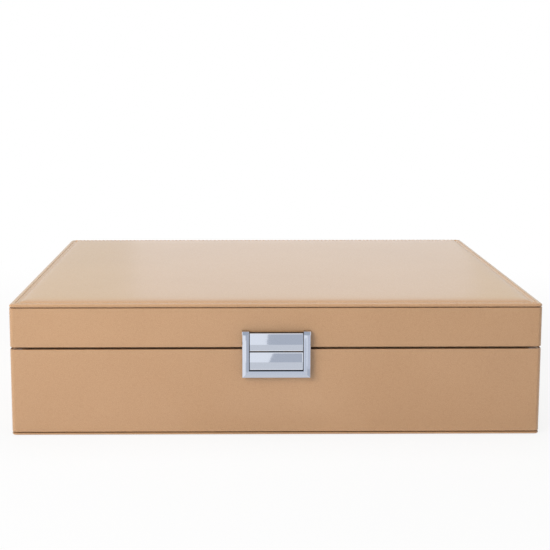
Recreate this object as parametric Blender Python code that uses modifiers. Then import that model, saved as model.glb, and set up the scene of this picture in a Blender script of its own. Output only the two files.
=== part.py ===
"""Eyeglasses storage box, in metres, with +Z up and its front towards -Y.

A low case of leatherette-covered boards. Its lid turns on two stop hinges at the back and is held at the
front by a push-button clasp. Inside are eight lined compartments between dividers that are halved into each
other.
"""

import math

import bmesh
import bpy
from mathutils import Matrix, Vector

# The case
case_width = 0.335
case_depth = 0.245
case_height = 0.085
corner_radius = 0.003
lid_gap_height = 0.0562
lid_gap = 0.001

# Air between two pieces that touch, and how far a cutter runs past what it cuts
fit_gap = 0.0003
cut_overrun = 0.002

# Boards, covering and lining of the walls
top_board_thickness = 0.0027
top_edge_round = 0.0015
base_board_thickness = 0.0018
base_edge_round = 0.0008
board_edge_round = 0.0004
wrap_thickness = 0.0009
rim_round = 0.0012
wall_board_thickness = 0.005
rebate_tongue = 0.0025
lining_thickness = 0.0015
lining_stand = 0.0045
lid_lining_clearance = 0.0015

# The stitched border of the top board is a shallow channel
stitch_inset = 0.0036
stitch_channel_width = 0.0014
stitch_channel_depth = 0.0003

# The sheet under the base board
sheet_inset = 0.008
sheet_thickness = 0.0008
sheet_stand = 0.0003

# Compartments
columns = 2
rows = 4
divider_thickness = 0.005
divider_height = 0.047
divider_round = 0.0012
pad_thickness = 0.004
pad_round = 0.0014
lid_pad_thickness = 0.003

# Hinges
hinge_inset = 0.07
leaf_length = 0.03
leaf_reach = 0.0058
leaf_gap = 0.0004
knuckles = 5
leaf_corner_round = 0.0012
barrel_radius = 0.0022
pin_radius = 0.0008
pin_head_radius = 0.0014
pin_head_thickness = 0.0005
heel_reach = 0.004
heel_thickness = 0.0012
stop_gap = 0.00025
lid_opening = math.radians(95)

# Hinge screws
hinge_screw_spacing = 0.018
hinge_screw_length = 0.006
hinge_screw_radius = 0.0007
hinge_screw_head_radius = 0.0014
hinge_screw_head_depth = 0.0007
screw_tip_length = 0.001

# Clasp frame
clasp_width = 0.043
clasp_high = 0.0117
clasp_low = 0.0177
clasp_proud = 0.005
clasp_leg_width = 0.00435
clasp_bevel = 0.0012
clasp_flange_thickness = 0.0008
clasp_flange_lap = 0.0026

# Clasp plates: the lid's strike above, the button below
plate_slope_drop = 0.0005
plate_edge_bevel = 0.0004
plate_side_gap = 0.0004
strike_top_drop = 0.0008
strike_bottom_drop = 0.0007
strike_slope_height = 0.0043
button_gap = 0.0006
button_slope_height = 0.0051
button_plate_thickness = 0.001
button_travel = 0.0015
press_clearance = 0.0004

# Tray behind the button, the button's guide block and its hook
tray_wall = 0.0008
guide_width = 0.014
guide_height = 0.0056
guide_stand = 0.0004
guide_rear_depth = 0.0015
hook_width = 0.0054
hook_height = 0.003
hook_arm_thickness = 0.001
hook_nose_height = 0.0011

# The strike's tongue, which hangs behind the button
tongue_width = 0.009
tongue_thickness = 0.0008
tongue_setback = 0.0004
tongue_window_width = 0.0064
tongue_window_height = 0.0022
tongue_window_stand = 0.0008

# Button spring
spring_radius = 0.0019
spring_wire_radius = 0.00025
spring_turns = 5
spring_pocket_depth = 0.003

# Clasp screws, driven from inside the walls
clasp_screw_radius = 0.001
clasp_screw_head_radius = 0.002
clasp_screw_head_depth = 0.001
clasp_screw_bite = 0.0024
frame_screw_drop = 0.0105
strike_screw_rise = 0.005
strike_screw_inset = 0.0058

# How finely round shapes are divided, and which edges count as flat, smooth or sharp
corner_steps = 6
edge_steps = 4
bevel_steps = 2
turned_steps = 16
barrel_steps = 20
points_per_coil = 10
merge_distance = 0.00001
flat_angle = math.radians(1)
smooth_angle = math.radians(35)
sharp_angle = math.radians(60)
upright_share = 0.9

# Places worked out from the sizes above
axis_offset = barrel_radius + fit_gap
hinge_proud = axis_offset + heel_reach
case_y = (clasp_proud - hinge_proud) / 2
front_y = case_y - case_depth / 2
back_y = case_y + case_depth / 2
base_rim_z = lid_gap_height - lid_gap / 2
lid_rim_z = lid_gap_height + lid_gap / 2
base_wall_z = base_board_thickness + fit_gap
top_board_z = case_height - top_board_thickness
lid_wall_z = top_board_z - fit_gap
skin = wrap_thickness + fit_gap
wall_depth = skin + wall_board_thickness
lining_depth = wall_depth + fit_gap
room_depth = lining_depth + lining_thickness
base_board_top_z = base_rim_z - skin
lid_board_low_z = lid_rim_z + skin
leaf_thickness = lid_gap / 2 + wrap_thickness - leaf_gap / 2
hinge_axis = Vector((0, back_y + axis_offset, lid_gap_height))


# Scene, collections and finishes


def empty_scene():
    for thing in list(bpy.data.objects):
        bpy.data.objects.remove(thing, do_unlink=True)


def new_collection(name):
    group = bpy.data.collections.new(name)
    bpy.context.scene.collection.children.link(group)
    return group


def new_finish(name, colour, roughness, metallic=0.0):
    finish = bpy.data.materials.new(name)
    finish.use_nodes = True
    shader = finish.node_tree.nodes["Principled BSDF"]
    shader.inputs["Base Color"].default_value = (*colour, 1)
    shader.inputs["Roughness"].default_value = roughness
    shader.inputs["Metallic"].default_value = metallic
    return finish


empty_scene()
box_parts = new_collection("eyeglasses_storage_box")
cutters = new_collection("cutters")

leatherette = new_finish("tan_leatherette", (0.50, 0.28, 0.15), 0.5)
greyboard = new_finish("grey_board", (0.36, 0.31, 0.25), 0.9)
velvet = new_finish("beige_velvet", (0.55, 0.42, 0.29), 0.95)
flock = new_finish("black_flock", (0.03, 0.028, 0.026), 0.95)
chrome = new_finish("polished_chrome", (0.75, 0.77, 0.82), 0.12, 1.0)
nickel = new_finish("plated_nickel", (0.62, 0.58, 0.51), 0.3, 1.0)
steel = new_finish("zinc_steel", (0.5, 0.5, 0.5), 0.4, 1.0)


# Making, placing, cutting and carrying


def add_object(name, mesh, finish, place=None):
    """Links a mesh as a part, or as a cutter where it has no finish."""
    thing = bpy.data.objects.new(name, mesh)
    if place:
        thing.matrix_world = place
    if finish:
        mesh.materials.append(finish)
        box_parts.objects.link(thing)
    else:
        thing.hide_render = True
        thing.display_type = "WIRE"
        cutters.objects.link(thing)
    return thing


def finish_mesh(name, shape):
    mesh = bpy.data.meshes.new(name)
    shape.to_mesh(mesh)
    shape.free()
    mesh.shade_smooth()
    mesh.set_sharp_from_angle(angle=smooth_angle)
    return mesh


def bevel_edges(shape, chosen, radius, segments):
    edges = [edge for edge in shape.edges if chosen(edge)]
    bmesh.ops.bevel(
        shape, geom=edges, offset=radius, segments=segments, profile=0.5, affect="EDGES", material=-1
    )


def is_upright(edge):
    along = (edge.verts[0].co - edge.verts[1].co).normalized()
    return abs(along.z) > upright_share


def lies_at(edge, axis, level):
    return all(math.isclose(vert.co[axis], level, abs_tol=fit_gap / 2) for vert in edge.verts)


def cube_between(low, high):
    """A box mesh about its own middle, and the place of that middle."""
    low, high = Vector(low), Vector(high)
    shape = bmesh.new()
    bmesh.ops.create_cube(shape, size=1)
    bmesh.ops.scale(shape, vec=high - low, verts=shape.verts)
    return shape, Matrix.Translation((low + high) / 2)


def block(name, low, high, finish=None, rounded=()):
    """A box between two corners. Each entry of rounded is a test of edges, a radius and its steps."""
    shape, place = cube_between(low, high)
    for chosen, radius, segments in rounded:
        bevel_edges(shape, chosen, radius, segments)
    return add_object(name, finish_mesh(name, shape), finish, place)


def turned(name, profile, finish=None, place=None, steps=turned_steps):
    """A profile of radius and height, from its top to its bottom, turned about the upright axis."""
    shape = bmesh.new()
    verts = [shape.verts.new((radius, 0, height)) for radius, height in profile]
    for first, second in zip(verts, verts[1:]):
        shape.edges.new((first, second))
    mesh = bpy.data.meshes.new(name)
    shape.to_mesh(mesh)
    shape.free()
    thing = add_object(name, mesh, finish, place)
    turn = thing.modifiers.new("turn", "SCREW")
    turn.axis = "Z"
    turn.angle = math.tau
    turn.steps = turn.render_steps = steps
    turn.use_merge_vertices = True
    turn.merge_threshold = merge_distance
    turn.use_smooth_shade = True
    return thing


def extruded(name, outline, length, finish=None, place=None, chosen=None, radius=0.0, segments=1):
    """A flat outline given half its length either way along its own third axis."""
    curve = bpy.data.curves.new(name, "CURVE")
    curve.dimensions = "2D"
    curve.fill_mode = "BOTH"
    curve.extrude = length / 2
    spline = curve.splines.new("POLY")
    spline.points.add(len(outline) - 1)
    for point, (across, along) in zip(spline.points, outline):
        point.co = (across, along, 0, 1)
    spline.use_cyclic_u = True
    guide = bpy.data.objects.new(name + "_outline", curve)
    cutters.objects.link(guide)
    solid = bpy.data.meshes.new_from_object(guide.evaluated_get(bpy.context.evaluated_depsgraph_get()))
    bpy.data.objects.remove(guide, do_unlink=True)
    shape = bmesh.new()
    shape.from_mesh(solid)
    bpy.data.meshes.remove(solid)
    bmesh.ops.remove_doubles(shape, verts=shape.verts, dist=merge_distance)
    bmesh.ops.recalc_face_normals(shape, faces=shape.faces)
    bmesh.ops.dissolve_limit(shape, angle_limit=flat_angle, verts=shape.verts, edges=shape.edges)
    if chosen:
        bevel_edges(shape, chosen, radius, segments)
    return add_object(name, finish_mesh(name, shape), finish, place)


def carry(thing, pivot):
    """Hangs an object on an empty without moving it."""
    thing.parent = pivot
    thing.matrix_parent_inverse = Matrix.Translation(pivot.location).inverted()


def combine(target, tool, operation):
    change = target.modifiers.new(tool.name, "BOOLEAN")
    change.operation = operation
    change.object = tool
    if target.parent and not tool.parent:
        carry(tool, target.parent)


def cut(target, *tools):
    for tool in tools:
        combine(target, tool, "DIFFERENCE")


def join(target, *tools):
    for tool in tools:
        combine(target, tool, "UNION")


def new_pivot(name, location):
    pivot = bpy.data.objects.new(name, None)
    pivot.location = location
    box_parts.objects.link(pivot)
    return pivot


# The lid and the button each hang on an empty on the axis that they move along or about

lid_pivot = new_pivot("lid_pivot", hinge_axis)
button_pivot = new_pivot("button_pivot", (0, front_y, lid_gap_height - clasp_low / 2))


# Top board, base board and the sheet that the case stands on


def case_corner(outset, level):
    """The case's far corner, drawn in by a distance, at a level."""
    return (case_width / 2 - outset, back_y - outset, level)


def near_corner(outset, level):
    return (outset - case_width / 2, front_y + outset, level)


def make_top_board():
    """A wrapped board with rounded edges, and a channel pressed in along its stitched border."""
    shape, place = cube_between(near_corner(0, top_board_z), case_corner(0, case_height))
    half = top_board_thickness / 2
    top_face = max(shape.faces, key=lambda face: face.calc_center_median().z)
    # a plain border, then the channel's two slopes, with the field inside them
    bmesh.ops.inset_region(shape, faces=[top_face], thickness=stitch_inset, use_even_offset=True)
    for drop in (-stitch_channel_depth, stitch_channel_depth):
        bmesh.ops.inset_region(
            shape, faces=[top_face], thickness=stitch_channel_width / 2, use_even_offset=True
        )
        bmesh.ops.translate(shape, vec=(0, 0, drop), verts=top_face.verts)
    bevel_edges(shape, is_upright, corner_radius, corner_steps)

    def rim_at(level):
        """The edges where the board's sides meet its top or its underside."""

        def chosen(edge):
            upright = [abs(face.normal.z) < upright_share for face in edge.link_faces]
            return lies_at(edge, 2, level) and any(upright) and not all(upright)

        return chosen

    shape.normal_update()
    bevel_edges(shape, rim_at(half), top_edge_round, edge_steps)
    shape.normal_update()
    bevel_edges(shape, rim_at(-half), board_edge_round, 1)
    board = add_object("lid_top_board", finish_mesh("lid_top_board", shape), leatherette, place)
    carry(board, lid_pivot)


def make_base_board():
    """A wrapped board with a shallow recess under it for the sheet."""
    thickness = base_board_thickness - sheet_stand
    board = block(
        "base_board",
        near_corner(0, sheet_stand),
        case_corner(0, base_board_thickness),
        leatherette,
        rounded=[
            (is_upright, corner_radius, corner_steps),
            (lambda edge: lies_at(edge, 2, -thickness / 2), base_edge_round, bevel_steps),
        ],
    )
    recess_top = sheet_thickness + fit_gap
    recess_edge = sheet_inset - fit_gap
    recess = block(
        "sheet_recess", near_corner(recess_edge, -cut_overrun), case_corner(recess_edge, recess_top)
    )
    cut(board, recess)
    block("underside_sheet", near_corner(sheet_inset, 0), case_corner(sheet_inset, sheet_thickness), flock)


make_top_board()
make_base_board()


# Leatherette bands: a wall with a flange turned over its rim


def make_band(name, rim_z, end_z):
    """An open skin, rounded at its corners and along its rim, given its thickness inwards."""
    low_z, high_z = min(rim_z, end_z), max(rim_z, end_z)
    shape, place = cube_between(near_corner(0, low_z), case_corner(0, high_z))
    by_height = sorted(shape.faces, key=lambda face: face.calc_center_median().z)
    rim_face, open_face = (by_height[-1], by_height[0]) if rim_z > end_z else (by_height[0], by_height[-1])
    bmesh.ops.inset_region(shape, faces=[rim_face], thickness=wall_depth, use_even_offset=True)
    bmesh.ops.delete(shape, geom=[rim_face, open_face], context="FACES_ONLY")
    bevel_edges(shape, is_upright, corner_radius, corner_steps)
    shape.normal_update()

    def on_rim(edge):
        flat = [abs(face.normal.z) > upright_share for face in edge.link_faces]
        return len(flat) == 2 and any(flat) and not all(flat)

    bevel_edges(shape, on_rim, rim_round, edge_steps)
    band = add_object(name, finish_mesh(name, shape), leatherette, place)
    wall = band.modifiers.new("thickness", "SOLIDIFY")
    wall.thickness = wrap_thickness
    wall.offset = -1
    wall.use_even_offset = True
    return band


base_wrap = make_band("base_wrap", base_rim_z, base_wall_z)
lid_wrap = make_band("lid_wrap", lid_rim_z, lid_wall_z)
carry(lid_wrap, lid_pivot)


# Wall boards: front and back run the full width, with a rebate at each end for the side boards


def outer_upright(side):
    """The upright edges on one face of a board, which follow the band's rounded corner."""
    return lambda edge: is_upright(edge) and side * edge.verts[0].co.y > 0


def make_long_board(name, side, low_z, high_z):
    outer_y = case_y + side * (case_depth / 2 - skin)
    inner_y = outer_y - side * wall_board_thickness
    half_length = case_width / 2 - skin
    low = (-half_length, min(outer_y, inner_y), low_z)
    high = (half_length, max(outer_y, inner_y), high_z)
    radius = corner_radius - skin
    board = block(name, low, high, greyboard, rounded=[(outer_upright(side), radius, corner_steps)])
    rebate_y = outer_y - side * rebate_tongue
    past_y = inner_y - side * cut_overrun
    for end, label in ((-1, "left"), (1, "right")):
        start_x = end * (half_length - wall_board_thickness - fit_gap)
        stop_x = end * (half_length + cut_overrun)
        rebate = block(
            f"{name}_{label}_rebate",
            (min(start_x, stop_x), min(rebate_y, past_y), low_z - cut_overrun),
            (max(start_x, stop_x), max(rebate_y, past_y), high_z + cut_overrun),
        )
        cut(board, rebate)
    return board


def make_side_board(name, side, low_z, high_z):
    outer_x = side * (case_width / 2 - skin)
    inner_x = outer_x - side * wall_board_thickness
    half_length = case_depth / 2 - skin - rebate_tongue - fit_gap
    return block(
        name,
        (min(outer_x, inner_x), case_y - half_length, low_z),
        (max(outer_x, inner_x), case_y + half_length, high_z),
        greyboard,
    )


def make_walls(prefix, low_z, high_z):
    return {
        "front": make_long_board(f"{prefix}_front_board", -1, low_z, high_z),
        "back": make_long_board(f"{prefix}_back_board", 1, low_z, high_z),
        "left": make_side_board(f"{prefix}_left_board", -1, low_z, high_z),
        "right": make_side_board(f"{prefix}_right_board", 1, low_z, high_z),
    }


base_boards = make_walls("base", base_wall_z, base_board_top_z)
lid_boards = make_walls("lid", lid_board_low_z, lid_wall_z)
for lid_board in lid_boards.values():
    carry(lid_board, lid_pivot)


# Linings: front and back run the full width, and the side strips fit between them


def make_linings(prefix, low_z, high_z):
    far_x, far_y = case_width / 2 - lining_depth, case_depth / 2 - lining_depth
    near_x, near_y = far_x - lining_thickness, far_y - lining_thickness
    side_y = near_y - fit_gap
    spans = {
        "front": ((-far_x, -far_y), (far_x, -near_y)),
        "back": ((-far_x, near_y), (far_x, far_y)),
        "left": ((-far_x, -side_y), (-near_x, side_y)),
        "right": ((near_x, -side_y), (far_x, side_y)),
    }
    return [
        block(
            f"{prefix}_{place}",
            (low_x, case_y + low_y, low_z),
            (high_x, case_y + high_y, high_z),
            velvet,
        )
        for place, ((low_x, low_y), (high_x, high_y)) in spans.items()
    ]


lining_top_z = base_rim_z + lining_stand
make_linings("lining", base_wall_z, lining_top_z)
for lid_lining in make_linings("lid_lining", lining_top_z + lid_lining_clearance, lid_wall_z):
    carry(lid_lining, lid_pivot)

lid_pad_edge = room_depth + fit_gap
lid_pad = block(
    "lid_pad",
    near_corner(lid_pad_edge, lid_wall_z - lid_pad_thickness),
    case_corner(lid_pad_edge, lid_wall_z),
    velvet,
    rounded=[(lambda edge: lies_at(edge, 2, -lid_pad_thickness / 2), pad_round, bevel_steps)],
)
carry(lid_pad, lid_pivot)


# Dividers, halved into each other, and a pad in each compartment

room_width = case_width - 2 * room_depth
room_length = case_depth - 2 * room_depth
cell_width = (room_width - (columns - 1) * divider_thickness) / columns
cell_length = (room_length - (rows - 1) * divider_thickness) / rows
divider_top_z = base_wall_z + divider_height
halving_z = base_wall_z + divider_height / 2
row_pitch = cell_length + divider_thickness
row_middles = [case_y + row_pitch * (row - rows / 2) for row in range(1, rows)]


def top_edges_along(axis, height):
    """The two long edges on top of a divider that runs along an axis."""

    def chosen(edge):
        along = (edge.verts[0].co - edge.verts[1].co).normalized()
        return lies_at(edge, 2, height / 2) and abs(along[axis]) > upright_share

    return chosen


def make_dividers():
    half = divider_thickness / 2
    slot = half + fit_gap
    length = room_length / 2 - fit_gap
    centre = block(
        "centre_divider",
        (-half, case_y - length, base_wall_z),
        (half, case_y + length, divider_top_z),
        velvet,
        rounded=[(top_edges_along(1, divider_height), divider_round, bevel_steps)],
    )
    width = room_width / 2 - fit_gap
    for number, middle in enumerate(row_middles, 1):
        row = block(
            f"row_divider_{number}",
            (-width, middle - half, base_wall_z),
            (width, middle + half, divider_top_z),
            velvet,
            rounded=[(top_edges_along(0, divider_height), divider_round, bevel_steps)],
        )
        # the row divider is slotted from below, and the centre divider from above
        row_slot = block(
            f"row_slot_{number}",
            (-slot, middle - slot - cut_overrun, base_wall_z - cut_overrun),
            (slot, middle + slot + cut_overrun, halving_z + fit_gap / 2),
        )
        centre_slot = block(
            f"centre_slot_{number}",
            (-slot - cut_overrun, middle - slot, halving_z - fit_gap / 2),
            (slot + cut_overrun, middle + slot, divider_top_z + cut_overrun),
        )
        cut(row, row_slot)
        cut(centre, centre_slot)


def make_floor_pads():
    number = 0
    for row in range(rows):
        near_y = case_y - room_length / 2 + row * row_pitch + fit_gap
        far_y = near_y + cell_length - 2 * fit_gap
        for column in range(columns):
            number += 1
            near_x = -room_width / 2 + column * (cell_width + divider_thickness) + fit_gap
            far_x = near_x + cell_width - 2 * fit_gap
            block(
                f"floor_pad_{number}",
                (near_x, near_y, base_wall_z),
                (far_x, far_y, base_wall_z + pad_thickness),
                velvet,
                rounded=[(lambda edge: lies_at(edge, 2, pad_thickness / 2), pad_round, bevel_steps)],
            )


make_dividers()
make_floor_pads()


# Countersunk screws, each with its hole: the same turned shape with the fit gap added all round


def screw_profile(radius, head_radius, head_depth, length, grow=0.0):
    """Radius and height down a screw whose flat head is at height zero."""
    top = cut_overrun if grow else 0
    return [
        (0, top),
        (head_radius + grow, top),
        (head_radius + grow, -grow / 2),
        (radius + grow, -head_depth - grow / 2),
        (radius + grow, screw_tip_length - length),
        (radius + grow if grow else radius / 2, -length - grow),
        (0, -length - grow),
    ]


def make_screw(name, sizes, head, direction, finish, pivot=None):
    """A screw whose head lies at a point and faces a direction, and the cutter of its hole."""
    place = Matrix.Translation(head) @ Vector(direction).to_track_quat("Z", "Y").to_matrix().to_4x4()
    screw = turned(name, screw_profile(*sizes), finish, place)
    hole = turned(name + "_hole", screw_profile(*sizes, grow=fit_gap), place=place)
    if pivot:
        carry(screw, pivot)
        carry(hole, pivot)
    return hole


# Stop hinges: two leaves let into the rims, knuckles behind the case, and heels that stop the lid


def arc(radius, start, stop):
    """Points along a circle about the hinge's axis, anticlockwise from one angle to another."""
    if stop < start:
        stop += math.tau
    steps = max(1, round(barrel_steps * (stop - start) / math.tau))
    angles = [start + (stop - start) * step / steps for step in range(steps + 1)]
    return [(radius * math.cos(angle), radius * math.sin(angle)) for angle in angles]


def angle_at(height, side):
    """Where a level meets the barrel, on its inner (-1) or outer (1) side."""
    return math.atan2(height, side * math.sqrt(barrel_radius**2 - height**2))


leaf_far = leaf_gap / 2 + leaf_thickness
leaf_inner = -axis_offset - leaf_reach

# the lid's heel meets the case's back face when the lid is fully open
heel_drop = (axis_offset - stop_gap + heel_reach * math.cos(lid_opening)) / math.sin(lid_opening)
heel_rise = heel_thickness - heel_drop

base_leaf_outline = [
    (leaf_inner, -leaf_far),
    *arc(barrel_radius, angle_at(-leaf_far, -1), angle_at(-leaf_gap / 2, -1)),
    (leaf_inner, -leaf_gap / 2),
]
lid_leaf_outline = [
    (leaf_inner, leaf_gap / 2),
    *arc(barrel_radius, angle_at(leaf_gap / 2, -1), angle_at(-heel_drop, 1)),
    (heel_reach, -heel_drop),
    (heel_reach, heel_rise),
    *arc(barrel_radius, angle_at(heel_rise, 1), angle_at(leaf_far, -1)),
    (leaf_inner, leaf_far),
]


def lengthwise_at(middle_x):
    """The place of something turned about the hinge's axis."""
    on_axis = Matrix.Translation((middle_x, hinge_axis.y, hinge_axis.z))
    return on_axis @ Matrix.Rotation(math.radians(90), 4, "Y")


def leaf_corners(edge):
    """The edges at a leaf's two inner corners, in the outline's own directions."""
    along = (edge.verts[0].co - edge.verts[1].co).normalized()
    return lies_at(edge, 0, leaf_inner) and abs(along.y) > upright_share


def make_leaf(name, outline, middle_x, own_knuckles, pivot=None):
    """A leaf drawn from its end, then slotted wherever the other leaf has a knuckle."""
    across = Matrix(((0, 0, 1, 0), (1, 0, 0, 0), (0, 1, 0, 0), (0, 0, 0, 1)))
    place = Matrix.Translation((middle_x, hinge_axis.y, hinge_axis.z)) @ across
    leaf = extruded(
        name, outline, leaf_length, nickel, place, leaf_corners, leaf_corner_round, edge_steps
    )
    if pivot:
        carry(leaf, pivot)
    bore_radius = pin_radius + fit_gap
    half_bore = leaf_length / 2 + cut_overrun
    bore_profile = [(0, half_bore), (bore_radius, half_bore), (bore_radius, -half_bore), (0, -half_bore)]
    cut(leaf, turned(name + "_bore", bore_profile, place=lengthwise_at(middle_x)))
    pitch = leaf_length / knuckles
    for slot in range(knuckles):
        if slot in own_knuckles:
            continue
        start = middle_x - leaf_length / 2 + slot * pitch
        low_x = start - (cut_overrun if slot == 0 else fit_gap / 2)
        high_x = start + pitch + (cut_overrun if slot == knuckles - 1 else fit_gap / 2)
        reach = heel_reach + cut_overrun
        slot_cutter = block(
            f"{name}_slot_{slot}",
            (low_x, hinge_axis.y - axis_offset, hinge_axis.z - reach),
            (high_x, hinge_axis.y + reach, hinge_axis.z + reach),
        )
        cut(leaf, slot_cutter)
    return leaf


def make_mortise(name, middle_x):
    """Where a hinge goes, both bands are cut through at the rim down to their boards."""
    half = leaf_length / 2 + fit_gap
    reach = skin + lid_gap / 2
    return block(
        name,
        (middle_x - half, back_y - leaf_reach - fit_gap, lid_gap_height - reach),
        (middle_x + half, back_y + cut_overrun, lid_gap_height + reach),
    )


def make_hinge(label, side):
    middle_x = side * (case_width / 2 - hinge_inset)
    outer, inner = range(0, knuckles, 2), range(1, knuckles, 2)
    base_leaf = make_leaf(f"hinge_base_leaf_{label}", base_leaf_outline, middle_x, outer)
    lid_leaf = make_leaf(f"hinge_lid_leaf_{label}", lid_leaf_outline, middle_x, inner, lid_pivot)
    cut(base_wrap, make_mortise(f"base_mortise_{label}", middle_x))
    cut(lid_wrap, make_mortise(f"lid_mortise_{label}", middle_x))
    half = leaf_length / 2 + fit_gap
    pin_profile = [
        (0, half + pin_head_thickness),
        (pin_head_radius / 2, half + pin_head_thickness),
        (pin_head_radius, half + pin_head_thickness / 2),
        (pin_head_radius, half),
        (pin_radius, half),
    ]
    pin_profile += [(radius, -height) for radius, height in reversed(pin_profile)]
    turned(f"hinge_pin_{label}", pin_profile, steel, lengthwise_at(middle_x))
    sizes = (hinge_screw_radius, hinge_screw_head_radius, hinge_screw_head_depth, hinge_screw_length)
    screw_y = back_y - skin - wall_board_thickness / 2
    for end, number in ((-1, 1), (1, 2)):
        screw_x = middle_x + end * hinge_screw_spacing / 2
        base_head = (screw_x, screw_y, lid_gap_height - leaf_gap / 2)
        lid_head = (screw_x, screw_y, lid_gap_height + leaf_gap / 2)
        base_hole = make_screw(f"hinge_base_screw_{label}_{number}", sizes, base_head, (0, 0, 1), nickel)
        lid_hole = make_screw(
            f"hinge_lid_screw_{label}_{number}", sizes, lid_head, (0, 0, -1), nickel, lid_pivot
        )
        for target in (base_leaf, base_boards["back"]):
            cut(target, base_hole)
        for target in (lid_leaf, lid_boards["back"]):
            cut(target, lid_hole)


make_hinge("left", -1)
make_hinge("right", 1)


# Clasp. A distance that something stands proud of the case's front face is turned into its place along Y


def proud(distance):
    return front_y - distance


frame_top_z = lid_gap_height + clasp_high
frame_low_z = lid_gap_height - clasp_low
mouth_half = clasp_width / 2 - clasp_leg_width
mouth_low_z = frame_low_z + clasp_leg_width
plate_half = mouth_half - plate_side_gap
strike_top_z = frame_top_z - strike_top_drop
strike_low_z = lid_gap_height - strike_bottom_drop
button_top_z = strike_low_z - button_gap
button_low_z = mouth_low_z + button_gap
tongue_rear = tongue_setback
tongue_front = tongue_rear + tongue_thickness
# the button can be pushed in until its plate is a fit gap from the tongue
plate_rear = tongue_front + fit_gap + button_travel
plate_proud = plate_rear + button_plate_thickness
tray_depth = guide_rear_depth + button_travel + press_clearance
guide_low_z = button_low_z + guide_stand
guide_top_z = guide_low_z + guide_height
pocket_low_z = guide_low_z - fit_gap
pocket_top_z = guide_top_z + hook_height + fit_gap
tray_half = guide_width / 2 + fit_gap + tray_wall
tray_low_z = pocket_low_z - tray_wall
tray_top_z = pocket_top_z + tray_wall
flange_top_z = tray_top_z - fit_gap
tongue_low_z = guide_top_z + fit_gap

# outlines in the clasp's face are drawn across and up, and given their depth from front to back
face_on = Matrix(((1, 0, 0, 0), (0, 0, 1, 0), (0, 1, 0, 0), (0, 0, 0, 1)))


def front_edges(edge):
    """Edges between the front face and its sides, which point forward."""
    faces = [face.normal.z for face in edge.link_faces]
    return lies_at(edge, 2, -(clasp_proud - fit_gap) / 2) and min(faces) < -upright_share < max(faces)


def make_frame():
    """A cast frame open at its top, with a flange and a tray behind the button."""
    half = clasp_width / 2
    outline = [
        (-half, frame_top_z),
        (-half, frame_low_z),
        (half, frame_low_z),
        (half, frame_top_z),
        (mouth_half, frame_top_z),
        (mouth_half, mouth_low_z),
        (-mouth_half, mouth_low_z),
        (-mouth_half, frame_top_z),
    ]
    depth = clasp_proud - fit_gap
    place = Matrix.Translation((0, proud(fit_gap + depth / 2), 0)) @ face_on
    frame = extruded(
        "clasp_frame", outline, depth, chrome, place, front_edges, clasp_bevel, bevel_steps
    )
    flange_half = mouth_half + clasp_flange_lap
    flange_front = tongue_setback + clasp_flange_thickness
    flange = block(
        "clasp_flange",
        (-flange_half, proud(flange_front), mouth_low_z - clasp_flange_lap),
        (flange_half, proud(tongue_setback), flange_top_z),
    )
    tray = block(
        "clasp_tray",
        (-tray_half, proud(flange_front - fit_gap / 2), tray_low_z),
        (tray_half, proud(-tray_depth - tray_wall), tray_top_z),
    )
    pocket = block(
        "tray_pocket",
        (tray_wall - tray_half, proud(clasp_proud), pocket_low_z),
        (tray_half - tray_wall, proud(-tray_depth), pocket_top_z),
    )
    channel_half = tongue_width / 2 + fit_gap
    channel = block(
        "tongue_channel",
        (-channel_half, proud(clasp_proud), tongue_low_z - fit_gap),
        (channel_half, proud(tongue_rear - fit_gap), tray_top_z + cut_overrun),
    )
    join(frame, flange, tray)
    cut(frame, pocket, channel)
    window = block(
        "tray_window",
        (-tray_half - fit_gap, proud(cut_overrun), tray_low_z - fit_gap),
        (tray_half + fit_gap, proud(-tray_depth - tray_wall - fit_gap), tray_top_z + fit_gap),
    )
    cut(base_wrap, window)
    cut(base_boards["front"], window)
    return frame


def plate_outline(low_z, high_z, rear, slope_height):
    """A plate seen from its end: an upright face above, and below it a face that slopes back."""
    return [
        (proud(rear), low_z),
        (proud(rear), high_z),
        (proud(plate_proud), high_z),
        (proud(plate_proud), low_z + slope_height),
        (proud(plate_proud - plate_slope_drop), low_z),
    ]


def plate_edges(edge):
    """The edges round the front of a plate, in the outline's own directions."""
    halfway = (plate_rear + plate_proud - plate_slope_drop) / 2
    return all(vert.co.x < proud(halfway) for vert in edge.verts) and edge.calc_face_angle() > sharp_angle


end_on = Matrix(((0, 0, 1, 0), (1, 0, 0, 0), (0, 1, 0, 0), (0, 0, 0, 1)))


def make_plate(name, low_z, high_z, rear, slope_height, pivot):
    outline = plate_outline(low_z, high_z, rear, slope_height)
    plate = extruded(name, outline, 2 * plate_half, chrome, end_on, plate_edges, plate_edge_bevel, 1)
    carry(plate, pivot)
    return plate


def make_strike():
    """The lid's plate, with a tongue that hangs behind the button and has a window for the hook."""
    strike = make_plate("clasp_strike", strike_low_z, strike_top_z, fit_gap, strike_slope_height, lid_pivot)
    half = tongue_width / 2
    tongue = block(
        "tongue",
        (-half, proud(tongue_front), tongue_low_z),
        (half, proud(tongue_rear), lid_gap_height),
    )
    window_half = tongue_window_width / 2
    window_low_z = tongue_low_z + tongue_window_stand
    window = block(
        "tongue_window",
        (-window_half, proud(tongue_front + fit_gap), window_low_z),
        (window_half, proud(tongue_rear - fit_gap), window_low_z + tongue_window_height),
    )
    join(strike, tongue)
    cut(strike, window)
    return strike


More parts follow.
